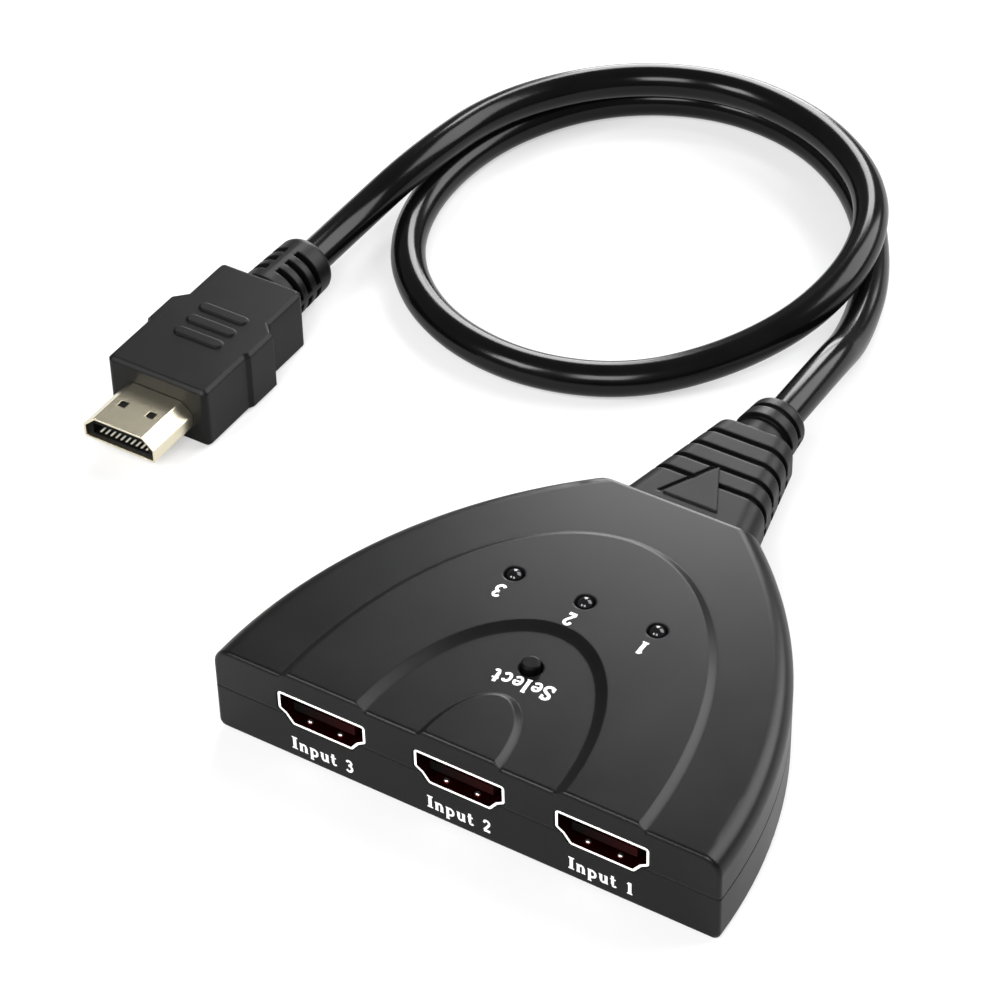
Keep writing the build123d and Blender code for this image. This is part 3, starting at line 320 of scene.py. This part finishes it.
class Nodes:
    """A material's node tree, with short calls to add nodes and join them."""

    def __init__(self, name):
        self.material = bpy.data.materials.new(name)
        self.material.use_nodes = True
        self.tree = self.material.node_tree
        self.shader = self.tree.nodes["Principled BSDF"]
        self.position = self.add("ShaderNodeTexCoord").outputs["Object"]

    def add(self, kind, **settings):
        node = self.tree.nodes.new(kind)
        for key, value in settings.items():
            setattr(node, key, value)
        return node

    def join(self, output, socket):
        self.tree.links.new(output, socket)

    def noise(self, scale, detail=2.0, roughness=0.5, stretch=None):
        node = self.add("ShaderNodeTexNoise")
        node.inputs["Scale"].default_value = scale
        node.inputs["Detail"].default_value = detail
        node.inputs["Roughness"].default_value = roughness
        source = self.position
        if stretch:
            mapping = self.add("ShaderNodeMapping")
            mapping.inputs["Scale"].default_value = stretch
            self.join(source, mapping.inputs["Vector"])
            source = mapping.outputs["Vector"]
        self.join(source, node.inputs["Vector"])
        return node.outputs["Fac"]

    def ramp(self, value, stops):
        stops = list(stops)
        node = self.add("ShaderNodeValToRGB")
        elements = node.color_ramp.elements
        while len(elements) < len(stops):
            elements.new(0.5)
        for element, (place, colour) in zip(elements, stops):
            element.position = place
            element.color = (*colour, 1)
        self.join(value, node.inputs["Fac"])
        return node.outputs["Color"]

    def spread(self, value, low, high):
        node = self.add("ShaderNodeMapRange")
        node.inputs["From Min"].default_value, node.inputs["From Max"].default_value = NOISE_RANGE
        node.inputs["To Min"].default_value = low
        node.inputs["To Max"].default_value = high
        self.join(value, node.inputs["Value"])
        return node.outputs["Result"]

    def bump(self, height, strength, distance, normal=None):
        node = self.add("ShaderNodeBump")
        node.inputs["Strength"].default_value = strength
        node.inputs["Distance"].default_value = distance
        self.join(height, node.inputs["Height"])
        if normal:
            self.join(normal, node.inputs["Normal"])
        return node.outputs["Normal"]

    def crown(self, rise_x, rise_y, normal):
        """Tilt the surface outwards a little, as on a top that is very slightly domed."""
        square = self.add("ShaderNodeVectorMath", operation="MULTIPLY")
        self.join(self.position, square.inputs[0])
        self.join(self.position, square.inputs[1])
        flat = self.add("ShaderNodeVectorMath", operation="DOT_PRODUCT")
        flat.inputs[1].default_value = (-rise_x / 2, -rise_y / 2, 0)
        self.join(square.outputs["Vector"], flat.inputs[0])
        return self.bump(flat.outputs["Value"], 1.0, 1.0, normal)

    def border_slope(self, normal):
        """Tilt the low border outside the raised arch a little further outwards than the rest."""
        parts = self.add("ShaderNodeSeparateXYZ")
        self.join(self.position, parts.inputs["Vector"])
        low = self.add("ShaderNodeMath", operation="LESS_THAN")
        low.inputs[1].default_value = top_high.z - STEP_LEVEL
        self.join(parts.outputs["Z"], low.inputs[0])
        away = self.add("ShaderNodeVectorMath", operation="DISTANCE")
        away.inputs[1].default_value = (0, top_low.y, top_high.z)
        self.join(self.position, away.inputs[0])
        outside = self.add("ShaderNodeMath", operation="GREATER_THAN")
        outside.inputs[1].default_value = RECESS_REACH
        self.join(away.outputs["Value"], outside.inputs[0])
        border = self.add("ShaderNodeMath", operation="MULTIPLY")
        self.join(low.outputs["Value"], border.inputs[0])
        self.join(outside.outputs["Value"], border.inputs[1])
        # A vector mix keeps its factor at input 0, its two vectors at 4 and 5, and its result at output 1
        choice = self.add("ShaderNodeMix", data_type="VECTOR")
        self.join(border.outputs["Value"], choice.inputs[0])
        self.join(normal, choice.inputs[4])
        self.join(self.crown(BORDER_CROWN, 0, normal), choice.inputs[5])
        return choice.outputs[1]

    def creases(self, reach, roughness):
        """Roughness that rises in inner corners, so that they look as dark as on the real moulding."""
        node = self.add("ShaderNodeAmbientOcclusion", samples=CREASE_SAMPLES)
        node.inputs["Distance"].default_value = reach
        fade = self.add("ShaderNodeMapRange")
        fade.inputs["From Min"].default_value = CREASE_OPENNESS
        fade.inputs["From Max"].default_value = 1.0
        fade.inputs["To Min"].default_value = CREASE_ROUGHNESS
        fade.inputs["To Max"].default_value = 0.0
        self.join(node.outputs["AO"], fade.inputs["Value"])
        total = self.add("ShaderNodeMath", operation="ADD")
        self.join(roughness, total.inputs[0])
        self.join(fade.outputs["Result"], total.inputs[1])
        return total.outputs["Value"]

    def front_lip(self, inside, lip, strength):
        """A pale lip on faces that look straight to the front, with a glow that is a painted highlight, and
        the other colour on the faces inside it as painted shade.
        """
        parts = self.add("ShaderNodeSeparateXYZ")
        self.join(self.add("ShaderNodeNewGeometry").outputs["True Normal"], parts.inputs["Vector"])
        facing = self.add("ShaderNodeMapRange")
        facing.inputs["From Min"].default_value, facing.inputs["From Max"].default_value = GLOW_LIP_FACING
        self.join(parts.outputs["Y"], facing.inputs["Value"])
        # Dark colour on the other faces as painted shade, pale colour and glow on front faces as a painted
        # highlight
        for socket, stops in (("Base Color", (inside, lip)), ("Emission Color", (grey(0), grey(1)))):
            colour = self.ramp(facing.outputs["Result"], enumerate(stops))
            self.join(colour, self.shader.inputs[socket])
        self.set(Emission_Strength=strength)

    def soft_edges(self, radius):
        node = self.add("ShaderNodeBevel", samples=EDGE_SAMPLES)
        node.inputs["Radius"].default_value = radius
        return node.outputs["Normal"]

    def set(self, **values):
        for key, value in values.items():
            socket = self.shader.inputs[key.replace("_", " ")]
            socket.default_value = (*value, 1) if isinstance(value, tuple) else value


def moulded_plastic(name, dark, light, rough, grain, grain_depth, edge, crown=0, crease=0, **shader):
    """Moulded plastic: slightly mottled colour, uneven gloss, a fine grain and softened edges."""
    n = Nodes(name)
    mottle = n.noise(MOTTLE_SCALE, detail=4)
    n.join(n.ramp(mottle, zip(NOISE_RANGE, (dark, light))), n.shader.inputs["Base Color"])
    roughness = n.spread(n.noise(GLOSS_SCALE, detail=3), *rough)
    if crease:
        roughness = n.creases(crease, roughness)
    n.join(roughness, n.shader.inputs["Roughness"])
    normal = n.bump(n.noise(grain, detail=2), GRAIN_STRENGTH, grain_depth, n.soft_edges(edge))
    if crown:
        normal = n.border_slope(n.crown(crown, crown, normal))
    n.join(normal, n.shader.inputs["Normal"])
    n.set(**shader)
    return n.material


def inner_plastic(name, dark, light, rough, grain=2500):
    """Plastic of a piece inside the closed box or the plug."""
    return moulded_plastic(name, dark, light, rough, grain, grain_depth=0.02 * MM, edge=0.1 * MM)


def plated_metal(name, dark, light, rough, edge, metal=1.0, lip=0):
    """Plated metal with faint brushing and uneven gloss, or dark as painted shade with a pale lip whose glow
    is a painted highlight.
    """
    n = Nodes(name)
    brushing = n.noise(1, detail=3, stretch=BRUSHING_STRETCH)
    n.join(n.spread(brushing, *rough), n.shader.inputs["Roughness"])
    normal = n.bump(brushing, BRUSHING_STRENGTH, BRUSHING_DEPTH, n.soft_edges(edge))
    n.join(normal, n.shader.inputs["Normal"])
    n.set(Metallic=metal)
    if lip:
        n.front_lip(dark, light, lip)
    else:
        n.join(n.ramp(brushing, zip(BRUSHING_RANGE, (dark, light))), n.shader.inputs["Base Color"])
    return n.material


def dark_red_plastic():
    """Plastic of the socket tongues: dark red on the right, darkened to black towards the left as painted
    shade.
    """
    n = Nodes("insulator_plastic_painted_shade")
    across = n.add("ShaderNodeSeparateXYZ")
    n.join(n.add("ShaderNodeTexCoord").outputs["Generated"], across.inputs["Vector"])
    n.join(n.ramp(across.outputs["X"], TONGUE_SHADE_COLOURS), n.shader.inputs["Base Color"])
    n.join(n.spread(n.noise(TONGUE_GLOSS_SCALE), *TONGUE_ROUGHNESS), n.shader.inputs["Roughness"])
    n.set(Specular_IOR_Level=0.05)
    return n.material


def give(material, names):
    """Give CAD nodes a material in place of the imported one."""
    for name in names:
        node = nodes[name]
        node.data.materials.clear()
        node.data.materials.append(material)


def make_cord():
    """The free lead: one smooth curve on the route's points."""
    curve = bpy.data.curves.new("output_lead", "CURVE")
    curve.dimensions = "3D"
    # The points carry the lead's radius, so that its bounding box is true
    curve.bevel_depth = 1.0
    curve.bevel_resolution = CORD_BEVEL_STEPS
    curve.use_fill_caps = True
    spline = curve.splines.new("NURBS")
    spline.points.add(len(CORD_ROUTE) - 1)
    for point, place in zip(spline.points, CORD_ROUTE):
        point.co = (*(Vector(place) * MM), 1)
        point.radius = CORD_DIAMETER / 2
    spline.order_u = 3
    spline.use_endpoint_u = True
    spline.resolution_u = CORD_SPAN_STEPS
    lead = bpy.data.objects.new("output_lead", curve)
    scene.collection.objects.link(lead)
    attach(lead, "housing")
    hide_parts("output_cable")
    return lead


def smoothed(points):
    """The same stroke with a few points added, so that it runs in curves through all of them."""
    if len(points) < 3:
        return points
    ends = [points[0], *points, points[-1]]
    smooth = []
    for a, b, c, d in zip(ends, ends[1:], ends[2:], ends[3:]):
        for step in range(CURVE_STEPS):
            t = step / CURVE_STEPS
            weights = (
                (-t + 2 * t**2 - t**3) / 2,
                (2 - 5 * t**2 + 3 * t**3) / 2,
                (t + 4 * t**2 - 3 * t**3) / 2,
                (t**3 - t**2) / 2,
            )
            smooth.append(tuple(sum(w * p[k] for w, p in zip(weights, (a, b, c, d))) for k in (0, 1)))
    return [*smooth, points[-1]]


def stroke(points, width):
    """Pairs of points on both sides of a stroke."""
    points = [Vector(p) for p in smoothed(points)]
    pairs = []
    for index, point in enumerate(points):
        along = points[min(index + 1, len(points) - 1)] - points[max(index - 1, 0)]
        side = Vector((-along.y, along.x)).normalized() * width / 2
        pairs.append((point + side, point - side))
    return pairs


def turned(angle):
    """Directions across and up a text that lies on the top at an angle."""
    return Vector((math.cos(angle), math.sin(angle), 0)), Vector((-math.sin(angle), math.cos(angle), 0))


def printed_text(name, words, height, place, across, up, space=0.0):
    """White printed lettering, flat and a hair above its surface, centred on its place."""
    widths = [GLYPHS[letter][0] for letter in words]
    pen = -(sum(widths) + space * (len(words) - 1)) / 2
    vertices, quads = [], []
    for letter, letter_width in zip(words, widths):
        for width, points in GLYPHS[letter][1]:
            first = len(vertices)
            for pair in stroke(points, width * BOLD):
                for spot in pair:
                    flat = across * (spot.x + pen) + up * (spot.y - 0.5)
                    vertices.append((Vector(place) + flat * height) * MM)
            rungs = (len(vertices) - first) // 2
            starts = [first + 2 * k for k in range(rungs - 1)]
            quads += [(start, start + 1, start + 3, start + 2) for start in starts]
        pen += letter_width + space
    mesh = bpy.data.meshes.new(name)
    mesh.from_pydata(vertices, [], quads)
    mesh.materials.append(ink_painted_glow)
    mark = bpy.data.objects.new(name, mesh)
    scene.collection.objects.link(mark)
    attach(mark, "housing")


def make_dimples(number):
    """The two pressed dimples of a socket's shell that catch the light just inside its mouth."""
    low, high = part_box(f"input_{number}_shell")
    mesh = bpy.data.meshes.new(f"input_{number}_dimples")
    shape = bmesh.new()
    for side in (-1, 1):
        place = Vector(((low.x + high.x) / 2 / MM, low.y / MM + DIMPLE_DEPTH, DIMPLE_FLOOR))
        place.x += DIMPLE_SHIFT + side * DIMPLE_SPREAD
        turn = Matrix.Translation(place * MM) @ Matrix.Diagonal((*(Vector(DIMPLE_RADII) * MM), 1))
        bmesh.ops.create_uvsphere(
            shape, u_segments=DIMPLE_SEGMENTS, v_segments=DIMPLE_RINGS, radius=1, matrix=turn
        )
    shape.to_mesh(mesh)
    shape.free()
    mesh.shade_smooth()
    mesh.materials.append(nickel_plate)
    dimples = bpy.data.objects.new(f"input_{number}_dimples", mesh)
    scene.collection.objects.link(dimples)
    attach(dimples, "housing")


def make_snap_dome():
    """The snap dome under the button as a thin cap."""
    low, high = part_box("select_switch_dome")
    radius = (high.x - low.x) / 2
    rise = high.z - low.z
    outer = (radius**2 + rise**2) / (2 * rise)
    inner = outer - DOME_SHEET
    centre = Vector(((low.x + high.x) / 2, (low.y + high.y) / 2, high.z - outer))
    profile = []
    for curve in (outer, inner):
        widest = math.acos((outer - rise) / curve)
        arc = [widest * step / DOME_RINGS for step in range(DOME_RINGS + 1)]
        row = [centre + Vector((curve * math.sin(a), 0, curve * math.cos(a))) for a in arc]
        profile += row if curve == outer else reversed(row)
    shape = bmesh.new()
    spots = [shape.verts.new(place) for place in profile]
    edges = [shape.edges.new(pair) for pair in zip(spots, spots[1:])]
    bmesh.ops.spin(
        shape,
        geom=spots + edges,
        cent=centre,
        axis=(0, 0, 1),
        angle=math.tau,
        steps=DOME_SEGMENTS,
        use_merge=True,
    )
    bmesh.ops.remove_doubles(shape, verts=shape.verts, dist=MM / 1000)
    bmesh.ops.recalc_face_normals(shape, faces=shape.faces)
    mesh = bpy.data.meshes.new("snap_dome")
    shape.to_mesh(mesh)
    shape.free()
    mesh.shade_smooth()
    mesh.materials.append(tin_plate)
    dome = bpy.data.objects.new("snap_dome", mesh)
    scene.collection.objects.link(dome)
    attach(dome, "housing")
    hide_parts("select_switch_dome")
    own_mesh(dome)


def make_lights():
    """Soft square panels on a sphere round the object."""
    for name, (azimuth, elevation, distance, size, power) in LIGHTS.items():
        a, e = math.radians(azimuth), math.radians(elevation)
        away = Vector((math.sin(a) * math.cos(e), -math.cos(a) * math.cos(e), math.sin(e)))
        data = bpy.data.lights.new(name, "AREA")
        data.shape = "SQUARE"
        data.size = size
        data.energy = power
        light = bpy.data.objects.new(name, data)
        light.location = LIGHT_AIM + distance * away
        light.rotation_euler = (-away).to_track_quat("-Z", "Y").to_euler()
        scene.collection.objects.link(light)


def make_floor():
    """White table for the camera, that takes soft shadows and throws little light back."""
    bpy.ops.mesh.primitive_plane_add(size=FLOOR_SIZE, location=(0, 0, -FLOOR_DROP))
    floor = bpy.context.object
    floor.name = "floor"
    n = Nodes("white_table")
    n.set(Base_Color=grey(FLOOR_GREY), Roughness=FLOOR_ROUGHNESS, Specular_IOR_Level=0)
    glow = n.add("ShaderNodeEmission")
    path = n.add("ShaderNodeLightPath")
    both = n.add("ShaderNodeAddShader")
    mirrored = n.add("ShaderNodeMath", operation="ADD")
    n.join(path.outputs["Is Glossy Ray"], mirrored.inputs[0])
    n.join(path.outputs["Is Transmission Ray"], mirrored.inputs[1])
    seen = n.add("ShaderNodeMath", operation="MULTIPLY_ADD")
    seen.inputs[1].default_value = MIRRORED_GLOW
    n.join(mirrored.outputs["Value"], seen.inputs[0])
    n.join(path.outputs["Is Camera Ray"], seen.inputs[2])
    n.join(seen.outputs["Value"], glow.inputs["Strength"])
    n.join(n.shader.outputs["BSDF"], both.inputs[0])
    n.join(glow.outputs["Emission"], both.inputs[1])
    n.join(both.outputs["Shader"], n.tree.nodes["Material Output"].inputs["Surface"])
    glow.inputs["Color"].default_value = (*grey(FLOOR_GLOW), 1)
    floor.data.materials.append(n.material)


def make_world():
    """White for the camera, soft ambient light for the object."""
    world = bpy.data.worlds.new("studio")
    scene.world = world
    world.use_nodes = True
    tree = world.node_tree
    seen = tree.nodes["Background"]
    seen.inputs["Color"].default_value = WHITE
    seen.inputs["Strength"].default_value = 1.0
    ambient = tree.nodes.new("ShaderNodeBackground")
    ambient.inputs["Color"].default_value = WHITE
    ambient.inputs["Strength"].default_value = AMBIENT
    mix = tree.nodes.new("ShaderNodeMixShader")
    path = tree.nodes.new("ShaderNodeLightPath")
    tree.links.new(path.outputs["Is Camera Ray"], mix.inputs["Fac"])
    tree.links.new(ambient.outputs["Background"], mix.inputs[1])
    tree.links.new(seen.outputs["Background"], mix.inputs[2])
    tree.links.new(mix.outputs["Shader"], tree.nodes["World Output"].inputs["Surface"])


make_camera()
lead = make_cord()

# Materials of the CAD nodes. The scale of a grain is Blender's noise scale, in features per metre.
housing_plastic = moulded_plastic(
    "housing_plastic",
    dark=grey(0.003),
    light=grey(0.004),
    rough=(0.31, 0.35),
    grain=5200,
    grain_depth=0.01 * MM,
    edge=0.4 * MM,
    crown=0.5,
    crease=0.9 * MM,
    Specular_IOR_Level=0.24,
)
soft_plastic = moulded_plastic(
    "soft_plastic",
    dark=grey(0.003),
    light=grey(0.004),
    rough=(0.38, 0.44),
    grain=3600,
    grain_depth=0.02 * MM,
    edge=0.4 * MM,
    Specular_IOR_Level=0.18,
)
jacket_plastic = moulded_plastic(
    "jacket_plastic",
    dark=grey(0.002),
    light=grey(0.003),
    rough=(0.15, 0.2),
    grain=700,
    grain_depth=0.02 * MM,
    edge=0.2 * MM,
    Specular_IOR_Level=0.24,
)
gloss_black = moulded_plastic(
    "gloss_black",
    dark=grey(0.002),
    light=grey(0.003),
    rough=(0.26, 0.34),
    grain=3000,
    grain_depth=0.01 * MM,
    edge=0.2 * MM,
    Specular_IOR_Level=0.1,
)
lamp_plastic = moulded_plastic(
    "lamp_plastic",
    dark=(0.003, 0.003, 0.004),
    light=(0.008, 0.008, 0.01),
    rough=(0.06, 0.1),
    grain=900,
    grain_depth=0.01 * MM,
    edge=0.1 * MM,
)
insulator_plastic_painted_shade = dark_red_plastic()
plug_core_plastic = moulded_plastic(
    "plug_core_plastic",
    dark=grey(0.002),
    light=grey(0.004),
    rough=(0.5, 0.6),
    grain=2500,
    grain_depth=0.02 * MM,
    edge=0.1 * MM,
    Specular_IOR_Level=0.1,
)
# White print in its own colour, with a faint glow added as painted light
ink_painted_glow = moulded_plastic(
    "ink_painted_glow",
    dark=grey(0.85),
    light=grey(0.95),
    rough=(0.45, 0.55),
    grain=4000,
    grain_depth=0.01 * MM,
    edge=0.01 * MM,
    Emission_Color=grey(1.0),
    Emission_Strength=0.25,
)
board_plastic = inner_plastic(
    "board_plastic", (0.01, 0.1, 0.03), (0.015, 0.15, 0.05), rough=(0.3, 0.4), grain=1500
)
chip_plastic = inner_plastic("chip_plastic", grey(0.02), grey(0.03), rough=(0.5, 0.6))
ceramic = inner_plastic("ceramic", (0.4, 0.27, 0.15), (0.5, 0.35, 0.2), rough=(0.4, 0.5))
milky_plastic = inner_plastic("milky_plastic", (0.7, 0.7, 0.66), (0.8, 0.8, 0.76), rough=(0.4, 0.5))
core_plastic = inner_plastic(
    "core_plastic", (0.5, 0.1, 0.08), (0.75, 0.7, 0.65), rough=(0.35, 0.45), grain=1500
)

gold_plate = plated_metal(
    "gold_plate", dark=(0.9, 0.83, 0.63), light=(0.94, 0.87, 0.67), rough=(0.25, 0.27), edge=0.12 * MM
)
nickel_plate = plated_metal(
    "nickel_plate", dark=(0.92, 0.91, 0.88), light=(0.98, 0.97, 0.94), rough=(0.26, 0.32), edge=0.06 * MM
)
# Sockets' shells: dark red inside as painted shade, with a pale lip whose glow is a painted highlight
rim_nickel_painted_light = plated_metal(
    "rim_nickel_painted_light",
    dark=(0.16, 0.012, 0.01),
    light=(0.92, 0.91, 0.88),
    rough=(0.3, 0.34),
    edge=0.04 * MM,
    lip=0.9,
)
# Contacts deep inside the sockets: dark red as painted shade
contact_red_painted_shade = plated_metal(
    "contact_red_painted_shade",
    dark=(0.2, 0.002, 0.002),
    light=(0.3, 0.004, 0.003),
    rough=(0.35, 0.45),
    edge=0.02 * MM,
    metal=0.6,
)
contact_gold = plated_metal(
    "contact_gold",
    dark=(0.9, 0.85, 0.7),
    light=(0.98, 0.94, 0.82),
    rough=(0.4, 0.5),
    edge=0.02 * MM,
    metal=0.2,
)
tin_plate = plated_metal(
    "tin_plate", dark=(0.6, 0.6, 0.58), light=(0.75, 0.75, 0.73), rough=(0.3, 0.4), edge=0.05 * MM
)
screw_steel = plated_metal("screw_steel", dark=grey(0.12), light=grey(0.2), rough=(0.3, 0.4), edge=0.1 * MM)

NUMBERS = (1, 2, 3)
give(housing_plastic, ["top_cover", "bottom_cover"])
give(soft_plastic, ["strain_relief", "plug_body"])
give(gold_plate, ["plug_shell"])
give(rim_nickel_painted_light, [f"input_{number}_shell" for number in NUMBERS])
give(insulator_plastic_painted_shade, [f"input_{number}_insulator" for number in NUMBERS])
give(contact_red_painted_shade, [f"input_{number}_contacts" for number in NUMBERS])
give(contact_gold, ["plug_contacts"])
give(plug_core_plastic, ["plug_insulator"])
give(gloss_black, ["select_button"])
give(lamp_plastic, [f"led_{number}_lens" for number in NUMBERS])
give(board_plastic, ["circuit_board"])
give(chip_plastic, ["switch_chip", "voltage_regulator", "select_switch_base", "resistors"])
give(ceramic, ["capacitors"])
give(milky_plastic, ["plug_inner_mould"])
give(core_plastic, ["cable_cores"])
give(jacket_plastic, ["cable_jacket_end"])
give(screw_steel, ["housing_screws"])
give(
    tin_plate,
    [
        "switch_chip_leads",
        "regulator_leads",
        "led_leads",
        "select_switch_pins",
        "select_switch_frame",
        "cable_shield",
    ],
)
lead.data.materials.append(jacket_plastic)

# Printed marks: digits by the lamps and the word by the button, upside down, and a label under each socket
RIGHT = Vector((1, 0, 0))
UP = Vector((0, 0, 1))

plateau_z = top_high.z / MM
recess_z = plateau_z - RECESS_DEPTH
for number in NUMBERS:
    low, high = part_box(f"led_{number}_lens")
    centre = (low + high) / 2 / MM
    place = (centre.x, centre.y - DIGIT_DROP, plateau_z + INK_RISE)
    printed_text(f"digit_{number}", str(number), DIGIT_HEIGHT, place, *turned(DIGIT_TURN))
    low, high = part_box(f"input_{number}_shell")
    place = ((low.x + high.x) / 2 / MM + INPUT_SHIFT, top_low.y / MM - INK_RISE, INPUT_CENTRE_Z)
    printed_text(f"input_word_{number}", f"Input {number}", INPUT_HEIGHT, place, RIGHT, UP, INPUT_SPACE)
    make_dimples(number)
select_place = (*SELECT_PLACE, recess_z + INK_RISE)
printed_text("select_word", "Select", SELECT_HEIGHT, select_place, *turned(SELECT_TURN), SELECT_SPACE)

make_snap_dome()

make_floor()
make_world()
make_lights()

scene.view_settings.view_transform = "Standard"
bpy.context.view_layer.update()
